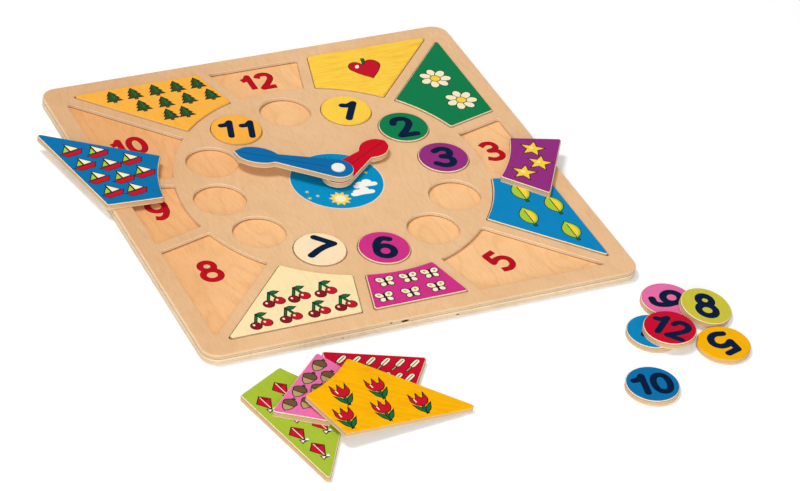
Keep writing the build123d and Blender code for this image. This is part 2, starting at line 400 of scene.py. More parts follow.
def birch_plywood(name, face, thickness, seat, toned, rim, figure=0.0, seam=0.0, corner_tone=None):
    """Birch plywood of three plies, rotary-cut veneers glued crosswise, sawn, sanded and
    clear-lacquered: a honey-coloured satin face with fine short pores along the grain, and edges
    of pale and darker plies with a thin line at each joint, darkened on the pieces and hands by
    handling, and on the tray paled by a share as painted light.  A sheet that is glued on another
    has a dark seam along its foot, its glue line darkened further as painted shade; the walls of
    its cut-outs are a paler copy of its edges, painted light, with a pale band of painted highlight
    along their arris.  The tray's faces darken towards the far left corner."""
    bare = colour_of("sanded_ply")
    tones = [colour_of(ply) for ply in ("long_ply", "cross_ply", "glue_line")]
    material, tree = start_material(name)
    sheet = laid_out(tree, seat)
    x, y, height = add(tree, "SeparateXYZ", {"Vector": sheet}).outputs
    rise = calc(tree, "MULTIPLY", height, 1 / thickness)
    # Painted shade: the seam at the foot is the glue line darkened further, as if shaded in the
    # joint.
    foot = (seam, mixed(grey(0.0), tones[2], SEAM_PAINTED_SHADE)) if seam else None
    sawn = [mixed(tone, *toned) for tone in tones]
    colour = ramp(tree, rise, *ply_stops(face, sawn, thickness, rim, foot))
    if seam:
        # Painted light: the cut-outs' walls are a paler, more even copy of the edge, with a pale
        # band of painted highlight along their arris; within the outer margin the edge keeps its
        # plain colours.
        walls = [mixed(mixed(tone, tones[0], CUT_EVENING), bare, CUT_PAINTED_LIGHT) for tone in tones]
        bands = ramp(tree, rise, *ply_stops(face, walls, thickness, [(CUT_HIGHLIGHT, bare)], foot))
        reach = calc(tree, "MAXIMUM", *(calc(tree, "ABSOLUTE", side) for side in (x, y)))
        outer = calc(tree, "GREATER_THAN", reach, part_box("frame_panel")[1].x - OUTER_MARGIN)
        colour = mix(tree, outer, bands, colour)

    pores = noise(tree, mapped(tree, sheet, Scale=repeats(PORES)), 1.0, 3.0, Roughness=0.62)
    clouds = noise(tree, sheet, 1 / (CLOUDS * MM), 3.0)
    growth = mapped(tree, sheet, Scale=repeats(CONTOURS))
    growth = noise(tree, growth, 1.0, 1.5, Distortion=0.35)
    growth = calc(tree, "PINGPONG", calc(tree, "MULTIPLY", growth, CONTOUR_COUNT), 1.0)
    veils = [
        (ramp(tree, pores, (0.30, (0.90, 0.86, 0.80)), (0.58, grey(1.0))), 0.8),
        (ramp(tree, clouds, (0.32, (0.95, 0.93, 0.90)), (0.62, grey(1.0))), 0.9),
        (ramp(tree, growth, (0.0, (0.86, 0.79, 0.70)), (0.45, grey(1.0))), figure),
    ]
    if corner_tone:
        slope = mapped(
            tree,
            sheet,
            Location=(CORNER_FADE_START, 0, 0),
            Rotation=(0, 0, radians(CORNER_FADE_TURN)),
            Scale=grey(1 / (CORNER_FADE_LENGTH * MM)),
        )
        fade = add(tree, "TexGradient", {"Vector": slope}).outputs["Fac"]
        top = calc(tree, "GREATER_THAN", height, thickness - FACE_DEPTH)
        veils.append((ramp(tree, fade, (0.0, grey(1.0)), (1.0, corner_tone)), top))
    for veil, strength in veils:
        colour = mix(tree, strength, colour, veil, blend_type="MULTIPLY")

    # The sanded arris catches the light as a thin line along each edge.
    arris = add(tree, "Bevel", {"Radius": ARRIS}, samples=4).outputs["Normal"]
    relief = bumped(tree, pores, 0.25, 0.08, Normal=arris)
    sheen = ranged(tree, pores, 0.3, 0.7, 0.62, 0.46)
    end_material(tree, colour, relief, roughness=sheen, specular=0.2)
    return material


def rolled_paint(name, colour, seat, thin=False):
    """Water-based toy paint, rolled on sealed plywood: an even satin colour that lets a little of
    the grain through as faint darker streaks, and more of it where it is thin."""
    material, tree = start_material(name)
    streaks = mapped(tree, laid_out(tree, seat, STREAK), Scale=(1.0, STREAK_SHARE, 1.0))
    grain = noise(tree, streaks, 1.0, 4.0, Roughness=0.6)
    shares = (0.90, 0.78, 0.62) if thin else grey(0.92)
    dark = tuple(c * share for c, share in zip(colour, shares))
    tint = ramp(tree, grain, (0.28, dark), (0.54, colour))
    end_material(tree, tint, bumped(tree, grain, 0.15, 0.05), roughness=0.5, specular=0.05)
    return material


def screen_ink(name, colour):
    """Screen-printing ink: a thin opaque film, slightly uneven where the mesh laid it down."""
    material = bpy.data.materials.get(name)
    if material:
        return material
    material, tree = start_material(name)
    mottle = noise(tree, object_coords(tree), 1 / (1.4 * MM), 2.0)
    tint = ramp(tree, mottle, (0.35, colour), (0.75, mixed(colour, grey(1.0), 0.006)))
    end_material(tree, tint, None, roughness=0.55, specular=0.015)
    return material


def moulded_nylon(name, colour):
    """Injection-moulded white nylon: smooth and slightly waxy, with faint flow marks."""
    material, tree = start_material(name)
    flow = noise(tree, object_coords(tree), 1 / (3 * MM), 2.0)
    warm = mixed(colour, linear("#E6DDC8"), 0.5)
    tint = ramp(tree, flow, (0.3, warm), (0.6, colour))
    relief = bumped(tree, flow, 0.1, 0.05)
    end_material(tree, tint, relief, roughness=0.28, specular=0.5, ior=1.53)
    return material


def dark_knot(name):
    """Painted shadow in a void of a core veneer, cut open by the saw: a dull near-black brown,
    rough and uneven.
    """
    material, tree = start_material(name)
    void_mottle = noise(tree, object_coords(tree), 1 / (0.6 * MM), 3.0)
    tint = ramp(tree, void_mottle, (0.35, linear("#140B06")), (0.7, linear("#3E2717")))
    end_material(tree, tint, bumped(tree, void_mottle, 0.4, 0.1), roughness=0.8, specular=0.1)
    return material


def seen_rays(tree):
    """1 for a ray from the camera, or by way of gloss or glass, else 0."""
    rays = add(tree, "LightPath").outputs
    direct = calc(tree, "MAXIMUM", rays["Is Camera Ray"], rays["Is Glossy Ray"])
    return calc(tree, "MAXIMUM", direct, rays["Is Transmission Ray"])


def paper_sweep(name):
    """Matt white background paper, rolled out flat: it keeps the shadows, and is lifted to white
    where it is seen, the more so away from the object, where the lamps hardly reach it."""
    material, tree = start_material(name)
    distance = add(tree, "VectorMath", {0: object_coords(tree)}, operation="LENGTH")
    distance = distance.outputs["Value"]
    lift = ranged(tree, distance, SWEEP_NEAR, SWEEP_FAR, LIFT_NEAR, LIFT_FAR)
    lift = calc(tree, "MULTIPLY", seen_rays(tree), lift)
    paper = add(tree, "BsdfDiffuse", {"Color": grey(0.9)})
    glow = add(tree, "Emission", {"Color": grey(1.0), "Strength": lift})
    both = add(tree, "AddShader", {0: paper.outputs[0], 1: glow.outputs[0]})
    add(tree, "OutputMaterial", {"Surface": both.outputs[0]})
    return material


def white_room(name, strength):
    """World with an even light, that itself looks white."""
    world = bpy.data.worlds.new(name)
    tree = start_tree(world)
    room = add(tree, "Background", {"Color": grey(1.0), "Strength": strength})
    white = add(tree, "Background", {"Color": grey(1.0), "Strength": 1.0})
    both = add(tree, "MixShader", {0: seen_rays(tree), 1: room.outputs[0], 2: white.outputs[0]})
    add(tree, "OutputWorld", {"Surface": both.outputs[0]})
    return world


INKS = {
    "dark": "#20180F",
    "cream": "#F7ECC4",
    "white": "#F6F4EC",
    "yellow": "#F9D33A",
    "red": "#C5122B",
    "deep_red": "#8C1020",
    "green": "#0F6B3C",
    "fir": "#2E4A22",
    "lime": "#A9C93A",
    "brown": "#6B5335",
    "tan": "#B79A6A",
}


# ------------------------------------------------------------------ shared making
def spot(x, y, z=0.0):
    return Matrix.Translation((x, y, z))


def turned(degrees):
    return Matrix.Rotation(radians(degrees), 4, "Z")


def new_object(bm, name, materials):
    """Makes a bmesh an object of its own."""
    mesh = bpy.data.meshes.new(name)
    bm.to_mesh(mesh)
    bm.free()
    for material in materials:
        mesh.materials.append(material)
    made = bpy.data.objects.new(name, mesh)
    bpy.context.scene.collection.objects.link(made)
    return made


def finished_piece(bm, name, materials, body):
    """Makes a bmesh a piece that rides on a body."""
    piece = new_object(bm, name, materials)
    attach(piece, body)
    return piece


def paint_wood(node, material):
    """Gives a CAD node its material."""
    materials = nodes[node].data.materials
    materials.clear()
    materials.append(material)


def top_sheet(node, slope=0.9):
    """Top of a solid as a bmesh, with its normal and the middle of its area.  The slope is the
    least upward share of the normal that still counts as top."""
    sheet = bmesh.new()
    sheet.from_mesh(nodes[node].data)
    bmesh.ops.remove_doubles(sheet, verts=sheet.verts, dist=0.001 * MM)
    sheet.normal_update()
    hidden = [face for face in sheet.faces if face.normal.z < slope]
    bmesh.ops.delete(sheet, geom=hidden, context="FACES")
    areas = [(face, face.calc_area()) for face in sheet.faces]
    middle = sum((face.calc_center_median() * area for face, area in areas), Vector())
    middle /= sum(area for _, area in areas)
    normal = sum((face.normal * area for face, area in areas), Vector()).normalized()
    bmesh.ops.dissolve_limit(sheet, angle_limit=radians(1), verts=sheet.verts, edges=sheet.edges)
    return sheet, normal, middle


def seat_of(node, turn):
    """Where a piece lies: its own plane, turned and tilted, with its origin on its top."""
    sheet, normal, middle = top_sheet(node)
    sheet.free()
    tilt = Vector((0, 0, 1)).rotation_difference(normal).to_matrix().to_4x4()
    return Matrix.Translation(middle) @ tilt @ turned(turn)


def raise_film(sheet, lift):
    """Makes a flat bmesh a thin closed film."""
    raised = bmesh.ops.extrude_face_region(sheet, geom=sheet.faces[:], use_keep_orig=True)
    film = [item for item in raised["geom"] if isinstance(item, bmesh.types.BMVert)]
    bmesh.ops.translate(sheet, verts=film, vec=lift)
    bmesh.ops.recalc_face_normals(sheet, faces=sheet.faces[:])


def painted_face(node, material, over_edge=False):
    """Paint film over the flat top of a solid, a hair inside its edge, or over its sanded edge
    as well."""
    sizes = bpy.context.scene.clock_sizes
    sheet, normal, _ = top_sheet(node, 0.5 if over_edge else 0.9)
    rim = bmesh.ops.inset_region(
        sheet, faces=sheet.faces[:], thickness=sizes.bare_rim, use_even_offset=True
    )
    bmesh.ops.delete(sheet, geom=rim["faces"], context="FACES")
    raise_film(sheet, normal * sizes.paint_thickness)
    return finished_piece(sheet, f"{node}_paint", [material], f"{node}_body")


def curve_mesh(lines, **settings):
    """Mesh of smooth lines.  A line is its points and whether it closes; a point with a third
    value is a corner."""
    data = bpy.data.curves.new("line", "CURVE")
    for key, value in settings.items():
        setattr(data, key, value)
    for points, closed in lines:
        spline = data.splines.new("BEZIER")
        spline.bezier_points.add(len(points) - 1)
        spline.use_cyclic_u = closed
        for knot, (x, y, *corner) in zip(spline.bezier_points, points):
            knot.co = (x, y, 0.0)
            handle = "VECTOR" if corner or len(points) == 2 else "AUTO"
            knot.handle_left_type = handle
            knot.handle_right_type = handle
    holder = bpy.data.objects.new("line", data)
    bpy.context.scene.collection.objects.link(holder)
    bpy.context.view_layer.update()
    graph = bpy.context.evaluated_depsgraph_get()
    mesh = bpy.data.meshes.new_from_object(holder.evaluated_get(graph))
    bpy.data.objects.remove(holder)
    bpy.data.curves.remove(data)
    return mesh


def add_copy(bm, mesh, matrix, slot=0):
    """Adds a mesh to a bmesh at a place, in one material slot."""
    first_vert, first_face = len(bm.verts), len(bm.faces)
    bm.from_mesh(mesh)
    bmesh.ops.transform(bm, matrix=matrix, verts=bm.verts[first_vert:])
    for face in bm.faces[first_face:]:
        face.material_index = slot


# ------------------------------------------------------------------ numbers
# Each figure is drawn as strokes in a box one unit high; a closed stroke is a ring.
FIGURES = {
    "0": [([(0.31, 1.0), (0.62, 0.5), (0.31, 0.0), (0.0, 0.5)], True)],
    "1": [([(0.0, 0.74), (0.20, 0.80), (0.36, 1.0)], False), ([(0.36, 1.0), (0.36, 0.0)], False)],
    "2": [
        ([
            (0.0, 0.76), (0.10, 0.94), (0.32, 1.0), (0.54, 0.91),
            (0.59, 0.70), (0.45, 0.45), (0.02, 0.0),
        ], False),
        ([(0.02, 0.0), (0.62, 0.0)], False),
    ],
    "3": [
        ([(0.04, 0.87), (0.28, 1.0), (0.54, 0.90), (0.54, 0.64), (0.26, 0.54)], False),
        ([(0.26, 0.54), (0.56, 0.43), (0.59, 0.14), (0.31, 0.0), (0.0, 0.13)], False),
    ],
    "4": [
        ([(0.46, 0.0), (0.46, 1.0)], False),
        ([(0.46, 1.0), (0.0, 0.28)], False),
        ([(0.0, 0.28), (0.64, 0.28)], False),
    ],
    "5": [
        ([(0.56, 1.0), (0.14, 1.0)], False),
        ([(0.14, 1.0), (0.07, 0.56)], False),
        ([(0.07, 0.56), (0.33, 0.64), (0.60, 0.50), (0.60, 0.18), (0.33, 0.0), (0.0, 0.11)], False),
    ],
    "6": [
        ([(0.57, 0.95), (0.33, 1.0), (0.09, 0.74), (0.01, 0.30)], False),
        ([(0.01, 0.30), (0.31, 0.60), (0.61, 0.30), (0.31, 0.0)], True),
    ],
    "7": [([(-0.12, 1.0), (0.60, 1.0)], False), ([(0.60, 1.0), (0.36, 0.58), (0.20, 0.0)], False)],
    "8": [
        ([(0.31, 1.0), (0.55, 0.78), (0.31, 0.55), (0.07, 0.78)], True),
        ([(0.31, 0.55), (0.62, 0.28), (0.31, 0.0), (0.0, 0.28)], True),
    ],
    "9": [
        ([(0.05, 0.05), (0.29, 0.0), (0.53, 0.26), (0.61, 0.70)], False),
        ([(0.61, 0.70), (0.31, 1.0), (0.01, 0.70), (0.31, 0.40)], True),
    ],
}
FIGURE_WIDTHS = {"1": 0.36}
FULL_WIDTH = 0.62
FIGURE_GAP = 0.08
WIDE_GAPS = {11: 0.18}


def number_strokes(number, height, stroke):
    """Strokes of a number round the middle of its box."""
    scale = height - stroke
    gap = WIDE_GAPS.get(number, FIGURE_GAP) * height + stroke
    widths = [FIGURE_WIDTHS.get(figure, FULL_WIDTH) * scale for figure in str(number)]
    left = -(sum(widths) + gap * (len(widths) - 1)) / 2
    strokes = []
    for figure, width in zip(str(number), widths):
        for points, closed in FIGURES[figure]:
            strokes.append(([(left + x * scale, (y - 0.5) * scale) for x, y in points], closed))
        left += width + gap
    return strokes


def printed_number(name, number, height, stroke, place, ink, body, round_ends=True):
    """Prints a number, in flat figures with an even stroke: pipes along the strokes, pressed
    flat."""
    strokes = number_strokes(number, height, stroke)
    pipes = curve_mesh(
        strokes,
        dimensions="3D",
        bevel_depth=stroke / 2,
        bevel_resolution=2,
        resolution_u=7,
        use_fill_caps=True,
    )
    bm = bmesh.new()
    bm.from_mesh(pipes)
    bpy.data.meshes.remove(pipes)
    ends = [end for points, closed in strokes if not closed for end in (points[0], points[-1])]
    joints = [end for end in ends if round_ends or ends.count(end) > 1]
    for x, y in sorted(set(joints)):
        ball = {"u_segments": 16, "v_segments": 8, "radius": stroke / 2}
        bmesh.ops.create_uvsphere(bm, matrix=spot(x, y), **ball)
    flat = 2 * bpy.context.scene.clock_sizes.ink_step / stroke
    bmesh.ops.scale(bm, vec=(1, 1, flat), verts=bm.verts)
    for face in bm.faces:
        face.smooth = True
    bmesh.ops.transform(bm, matrix=place, verts=bm.verts)
    finished_piece(bm, name, [ink], body)


# ------------------------------------------------------------------ motifs
def oval(x, y, width, height, turn=0.0):
    """Closed oval outline."""
    c, s = cos(radians(turn)), sin(radians(turn))
    quarter = [(0, height / 2), (width / 2, 0), (0, -height / 2), (-width / 2, 0)]
    return [(x + c * u - s * v, y + s * u + c * v) for u, v in quarter]


def around(outline, count, start=0.0):
    """An outline repeated by turning it round the middle."""
    turned = []
    for i in range(count):
        c, s = cos(radians(start + 360 / count * i)), sin(radians(start + 360 / count * i))
        turned.append([(c * x - s * y, s * x + c * y, *corner) for x, y, *corner in outline])
    return turned


def star(points, inner, outer=0.5):
    """Pointed star."""
    corners = []
    for i in range(2 * points):
        reach, angle = (inner if i % 2 else outer), radians(180 * i / points)
        corners.append((reach * sin(angle), reach * cos(angle), 1))
    return corners


HEART = [
    (0, -0.5, 1), (0.38, -0.08), (0.5, 0.22), (0.27, 0.44), (0, 0.24, 1),
    (-0.27, 0.44), (-0.5, 0.22), (-0.38, -0.08),
]
LEAF = [(0, 0.5, 1), (0.27, 0.12), (0.2, -0.25), (0, -0.42, 1), (-0.2, -0.25), (-0.27, 0.12)]
TULIP = [
    (-0.3, 0.48, 1), (-0.15, 0.26), (0, 0.5, 1), (0.15, 0.26),
    (0.3, 0.48, 1), (0.31, 0.12), (0, -0.08), (-0.31, 0.12),
]
KITE = [(0, 0.5, 1), (0.3, 0.2, 1), (0, -0.28, 1), (-0.3, 0.2, 1)]
BOW = [(0, -0.34, 1), (0.15, -0.27, 1), (0.15, -0.43, 1), (-0.15, -0.27, 1), (-0.15, -0.43, 1)]
HULL = [(-0.5, -0.08, 1), (0.5, -0.08, 1), (0.32, -0.34, 1), (-0.3, -0.34, 1)]
MAIN_SAIL = [(0.0, 0.0, 1), (0.0, 0.5, 1), (0.38, 0.02, 1)]
FORE_SAIL = [(-0.08, 0.0, 1), (-0.08, 0.36, 1), (-0.36, 0.02, 1)]
FIR = [
    (0, 0.5, 1), (0.22, 0.18, 1), (0.12, 0.18, 1), (0.32, -0.1, 1), (0.19, -0.1, 1),
    (0.4, -0.38, 1), (-0.4, -0.38, 1),
    (-0.19, -0.1, 1), (-0.32, -0.1, 1), (-0.12, 0.18, 1), (-0.22, 0.18, 1),
]
FIR_LIGHT = [(0, 0.4, 1), (0.1, 0.2, 1), (0.04, 0.16, 1), (0.16, -0.06, 1), (0, -0.3, 1)]
NUT = [(-0.23, 0.08), (-0.2, -0.26), (0, -0.48, 1), (0.2, -0.26), (0.23, 0.08)]
CUP = [(-0.31, 0.06), (-0.18, 0.34), (0.18, 0.34), (0.31, 0.06), (0, -0.02)]


def bar(x0, y0, x1, y1, width):
    """Straight bar between two points."""
    along = Vector((x1 - x0, y1 - y0)).normalized() * width / 2
    return [
        (x0 - along.y, y0 + along.x, 1),
        (x1 - along.y, y1 + along.x, 1),
        (x1 + along.y, y1 - along.x, 1),
        (x0 + along.y, y0 - along.x, 1),
    ]


# Motif of each hour: its size in mm, its shapes from the bottom up as ink, outline and whether it
# has a dark outline, and the places where it stands, in mm from the middle of the tray.
MOTIFS = {
    1: (22, [
        ("green", bar(0.02, 0.2, 0.1, 0.56, 0.07), True),
        ("red", HEART, True),
        ("white", oval(-0.24, 0.2, 0.12, 0.2, -35), False),
    ], [(74, 111)]),
    2: (
        22,
        [("cream", petal, True) for petal in around(oval(0, 0.31, 0.26, 0.38), 7)]
        + [("yellow", oval(0, 0, 0.3, 0.3), True)],
        [(121, 58), (115, 87)],
    ),
    3: (
        16,
        [("yellow", star(5, 0.22), True), ("cream", oval(-0.05, 0.05, 0.16, 0.16), False)],
        [(119, 15), (125.8, 0), (117, -14)],
    ),
    4: (20, [
        ("green", bar(0, -0.55, 0, -0.3, 0.07), True),
        ("lime", LEAF, True),
        ("yellow", [(0, 0.42, 1), (0.2, 0.1), (0.14, -0.22), (0, -0.34, 1)], False),
        ("fir", bar(0, -0.4, 0, 0.34, 0.035), False),
    ], [(112, -51), (127, -70), (105, -77), (125, -99)]),
    5: (16.5, [
        ("green", bar(0, -0.5, 0, 0, 0.07), True),
        ("green", [(0, -0.48, 1), (0.2, -0.32), (0.33, -0.05, 1), (0.1, -0.22)], True),
        ("green", [(0, -0.48, 1), (-0.2, -0.32), (-0.33, -0.05, 1), (-0.1, -0.22)], True),
        ("red", TULIP, True),
        ("cream", bar(-0.16, 0.1, -0.19, 0.28, 0.05), False),
    ], [(46.5, -125.5), (72, -125.5), (97.5, -125.5), (53.5, -106.5), (77, -107)]),
    6: (13, [
        ("cream", oval(0.25, 0.17, 0.44, 0.34, 35), True),
        ("cream", oval(-0.25, 0.17, 0.44, 0.34, -35), True),
        ("cream", oval(0.19, -0.18, 0.32, 0.26, -40), True),
        ("cream", oval(-0.19, -0.18, 0.32, 0.26, 40), True),
        ("dark", oval(0, 0, 0.09, 0.6), False),
        ("tan", oval(0.27, 0.19, 0.16, 0.12, 35), False),
        ("tan", oval(-0.27, 0.19, 0.16, 0.12, -35), False),
    ], [(-21, -127.5), (-3, -128), (15, -127.5), (-14, -113), (2, -113.5), (17, -113.5)]),
    7: (16, [
        ("green", bar(-0.2, -0.1, 0.05, 0.45, 0.06), True),
        ("green", bar(0.24, 0.0, 0.05, 0.45, 0.06), True),
        ("green", [(0.05, 0.42, 1), (0.2, 0.5), (0.42, 0.42, 1), (0.22, 0.32)], True),
        ("deep_red", oval(-0.22, -0.22, 0.42, 0.4), True),
        ("red", oval(0.26, -0.14, 0.42, 0.4), True),
        ("cream", oval(-0.29, -0.15, 0.1, 0.12), False),
        ("cream", oval(0.19, -0.07, 0.1, 0.12), False),
    ], [
        (-48.5, -125.5), (-67, -126.5), (-86, -126.5), (-106, -127),
        (-55, -109), (-73, -109), (-90, -109),
    ]),
    8: (16, [
        ("white", BOW, True),
        ("red", KITE, True),
        ("deep_red", [(0, 0.46, 1), (0.27, 0.2, 1), (0, 0.2, 1)], False),
        ("white", bar(0, 0.46, 0, -0.24, 0.03), False),
    ], [
        (-112, -50), (-128, -56), (-105, -66), (-120, -72),
        (-97, -78), (-111, -89), (-128, -89), (-126, -107),
    ]),
    9: (12.5, [
        ("brown", bar(0, 0.3, 0.04, 0.5, 0.08), True),
        ("tan", NUT, True),
        ("brown", CUP, True),
    ], [
        (-130.5, -21.5), (-130.5, -7.2), (-130.5, 7.1), (-130.5, 21.4),
        (-121.6, -14.4), (-121.6, 0), (-121.6, 14.3), (-112.8, -7.2), (-112.8, 7.1),
    ]),
    10: (
        15,
        [("red", HULL, True), ("cream", MAIN_SAIL, True), ("lime", FORE_SAIL, True)],
        [
            (-126.5, 52), (-126.5, 69), (-126.5, 86), (-126.5, 103), (-112, 47),
            (-112, 62), (-112, 78), (-112, 94), (-97, 61), (-97, 77),
        ],
    ),
    11: (12.2, [
        ("brown", bar(0, -0.52, 0, -0.3, 0.12), True),
        ("fir", FIR, True),
        ("green", FIR_LIGHT, False),
    ], [
        (-45.2, 127.5), (-60, 127.5), (-75, 127.5), (-90.5, 127.5), (-105.5, 127.5), (-41, 112.5),
        (-57.5, 112.5), (-74, 112.5), (-90, 112.5), (-65, 98), (-76.3, 98),
    ]),
    12: (
        12,
        [
            ("tan", bar(-0.34, -0.5, -0.05, -0.06, 0.07), True),
            ("cream", oval(0.1, 0.16, 0.26, 0.72, -33), True),
            ("brown", bar(-0.1, -0.14, 0.26, 0.4, 0.05), False),
        ],
        [(x, 128) for x in (-21.5, -12.5, -3.5, 5.5, 14.5, 23.5)]
        + [(x, 114) for x in (-17, -9.6, -2.2, 5.2, 12.6, 20)],
    ),
}


def printed_motifs(name, motif, ground, outline_width, body):
    """Prints a motif at each of its places, in layers from the bottom up, each a hair over the
    one below."""
    size, shapes, places = motif
    layers = []
    for ink, outline, outlined in shapes:
        points = [(x * (size * MM), y * (size * MM), *corner) for x, y, *corner in outline]
        flat = {"dimensions": "2D", "fill_mode": "BOTH", "resolution_u": 5}
        if outlined:
            layers.append(("dark", curve_mesh([(points, True)], offset=outline_width, **flat)))
        layers.append((ink, curve_mesh([(points, True)], **flat)))
    inks = sorted({ink for ink, _ in layers})
    bm = bmesh.new()
    for rank, (ink, mesh) in enumerate(layers):
        lift = (1 + rank / len(layers)) * bpy.context.scene.clock_sizes.ink_step
        for x, y in places:
            add_copy(bm, mesh, ground @ spot(x * MM, y * MM, lift), inks.index(ink))
        bpy.data.meshes.remove(mesh)
    up = ground.to_3x3() @ Vector((0, 0, 1))
    downward = [face for face in bm.faces if face.normal.dot(up) < 0]
    bmesh.ops.reverse_faces(bm, faces=downward)
    materials = [screen_ink(f"{ink}_screen_ink", linear(INKS[ink])) for ink in inks]
    finished_piece(bm, name, materials, body)


# ------------------------------------------------------------------ operators
def piece_thickness():
    low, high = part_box("piece_1")
    return high.z - low.z


def painted_plywood(node, thickness, seat, handling, hour=None):
    """Plywood of a painted piece, darkened by handling in some share.  Where the paint runs over
    the edge it ends in a darker lip of its colour; elsewhere a pale rim lies over a dark line."""
    face = colour_of("piece_wood")
    if hour in EDGE_PAINTED:
        lip = tuple(c * LIP_SHADE + LIP_LIFT for c in colour_of(f"hour_{hour}"))
        rim = [(LIP_DEPTH, lip)]
    else:
        rim = [(UNDER_RIM_DEPTH, colour_of("sealer_line")), (PIECE_RIM, face)]
    toned = (colour_of("handled_ply"), handling)
    return birch_plywood(f"birch_plywood_{node}", face, thickness, seat, toned, rim)


def painted_piece(node, hour, colour, ground, grain_turn=0):
    """Finishes one wedge or disc, which lies on a ground of its own: its wood and its paint."""
    seat = ground @ spot(0, 0, -piece_thickness())
    paint_wood(node, painted_plywood(node, piece_thickness(), seat, PIECE_HANDLING, hour))
    name = f"{PAINT_NAMES[hour]}_paint_{node}"
    paint = rolled_paint(name, colour, seat @ turned(grain_turn), grain_turn > 0)
    film = painted_face(node, paint, hour in EDGE_PAINTED)


def wedge_seat(hour):
    """Where a wedge's own drawing, given in the tray's frame at height 0, comes to lie."""
    if hour not in LIKE_WEDGE:
        return spot(0, 0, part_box(f"piece_{hour}")[1].z)
    like = LIKE_WEDGE[hour]
    middle = seat_of(f"piece_{like}", 0).to_translation()
    home = turned(SECTOR * (like - hour)) @ Vector((middle.x, middle.y, 0))
    return seat_of(f"piece_{hour}", LOOSE_TURNS[hour]) @ Matrix.Translation(-home)


class CLOCK_OT_tray_wood(bpy.types.Operator):
    """Finishes the frame and the backing as sanded birch plywood"""

    bl_idname = "clock.tray_wood"
    bl_label = "Tray wood"

    # Each sheet's face, the share by which its edges are paled as painted light, the strength of
    # its growth figure, the dark seam at its foot in mm, its glue line darkened as painted shade,
    # and its tone towards the far left corner.
    sheets = {
        "frame_panel": ("tray_face", 0.1, 0.2, 0.4, (0.87, 0.82, 0.79)),
        "backing_panel": ("floor_face", 0.3, 0.45, 0.0, (0.86, 0.74, 0.62)),
    }

    def execute(self, context):
        for node, (face, painted_light, figure, seam, corner_tone) in self.sheets.items():
            low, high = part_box(node)
            # Painted light: the sheet's sawn edges are paled by a share towards a pale tone.
            face, toned = colour_of(face), (colour_of("sanded_ply"), painted_light)
            rim_tone = mixed(face, colour_of("long_ply"), FRAME_RIM_SHARE)
            wood = birch_plywood(
                f"birch_plywood_{node}",
                face,
                high.z - low.z,
                spot(0, 0, low.z),
                toned,
                [(FRAME_RIM, rim_tone)] if seam else [],
                figure,
                seam * MM,
                corner_tone,
            )
            paint_wood(node, wood)
        return {"FINISHED"}


class CLOCK_OT_edge_knots(bpy.types.Operator):
    """Paints shadow into the few core voids that the saw cut open in the tray's front edge"""

    bl_idname = "clock.edge_knots"
    bl_label = "Edge knots"

    # Middle of each void's painted shadow along the edge and above the table, its length and its
    # height, in mm.
    knots = (
        (-17.5, 5.7, 5.4, 1.5), (-27, 6.1, 1.7, 0.9), (19.2, 2.2, 2.0, 0.8), (-59.5, 2.0, 1.4, 0.6),
    )
    proud = 0.01

    def execute(self, context):
        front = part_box("frame_panel")[0].y - self.proud * MM
        upright = Matrix.Rotation(radians(90), 4, "X")
        bm = bmesh.new()
        for x, z, length, height in self.knots:
            shape = Matrix.Diagonal((length * MM / 2, height * MM / 2, 1, 1))
            place = spot(x * MM, front, z * MM) @ upright @ shape
            bmesh.ops.create_circle(bm, cap_ends=True, segments=14, radius=1.0, matrix=place)
        # Painted shadow: dark films stand for the shade inside the voids of the core ply.
        finished_piece(bm, "edge_knots", [dark_knot("dark_core_knot")], "tray")
        return {"FINISHED"}


class CLOCK_OT_pivot(bpy.types.Operator):
    """Finishes the rivet, its cap and its washers as moulded nylon"""

    bl_idname = "clock.pivot"
    bl_label = "Pivot"

    def execute(self, context):
        nylon = moulded_nylon("moulded_nylon", colour_of("plastic"))
        for node in ("pivot_rivet", "rear_cap", "base_washer", "hand_washer"):
            paint_wood(node, nylon)
        return {"FINISHED"}


class CLOCK_OT_hands(bpy.types.Operator):
    """Finishes both hands as plywood with a painted top and a scored middle line"""

    bl_idname = "clock.hands"
    bl_label = "Hands"

    # The score line's start from the pivot, its end from the tip and its half width, in mm, how
    # flat it lies, and the share to which it darkens the paint.
    start, short, half_width, flatness, shade = 6.5, 2.5, 0.22, 0.06, 0.45

    def execute(self, context):
        for node, slot in (("hour_hand", "red_hand_wood"), ("minute_hand", "blue_hand_wood")):
            low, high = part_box(node)
            sheet, _, middle = top_sheet(node)
            sheet.free()
            along = Vector((middle.x - pivot.x, middle.y - pivot.y, 0)).normalized()
            turn = Matrix.Rotation(-Vector((0, 1)).angle_signed(along.xy), 4, "Z")
            seat = spot(pivot.x, pivot.y, low.z) @ turn
            paint_wood(node, painted_plywood(node, high.z - low.z, seat, HAND_HANDLING))
            film = painted_face(node, rolled_paint(f"{node}_paint", colour_of(node), seat))

            tip = max(along.dot(v.co - pivot) for v in nodes[node].data.vertices)
            score = curve_mesh(
                [([(0, self.start * MM), (0, tip - self.short * MM)], False)],
                dimensions="3D",
                bevel_depth=self.half_width * MM,
                bevel_resolution=2,
                use_fill_caps=True,
            )
            bm = bmesh.new()
            above = high.z + context.scene.clock_sizes.paint_thickness
            pressed = Matrix.Diagonal((1, 1, self.flatness, 1))
            add_copy(bm, score, spot(pivot.x, pivot.y, above) @ turn @ pressed)
            bpy.data.meshes.remove(score)
            dark = tuple(c * self.shade for c in colour_of(node))
            ink = screen_ink(f"{node}_score_line", dark)
            finished_piece(bm, f"{node}_score", [ink], f"{node}_body")
        return {"FINISHED"}


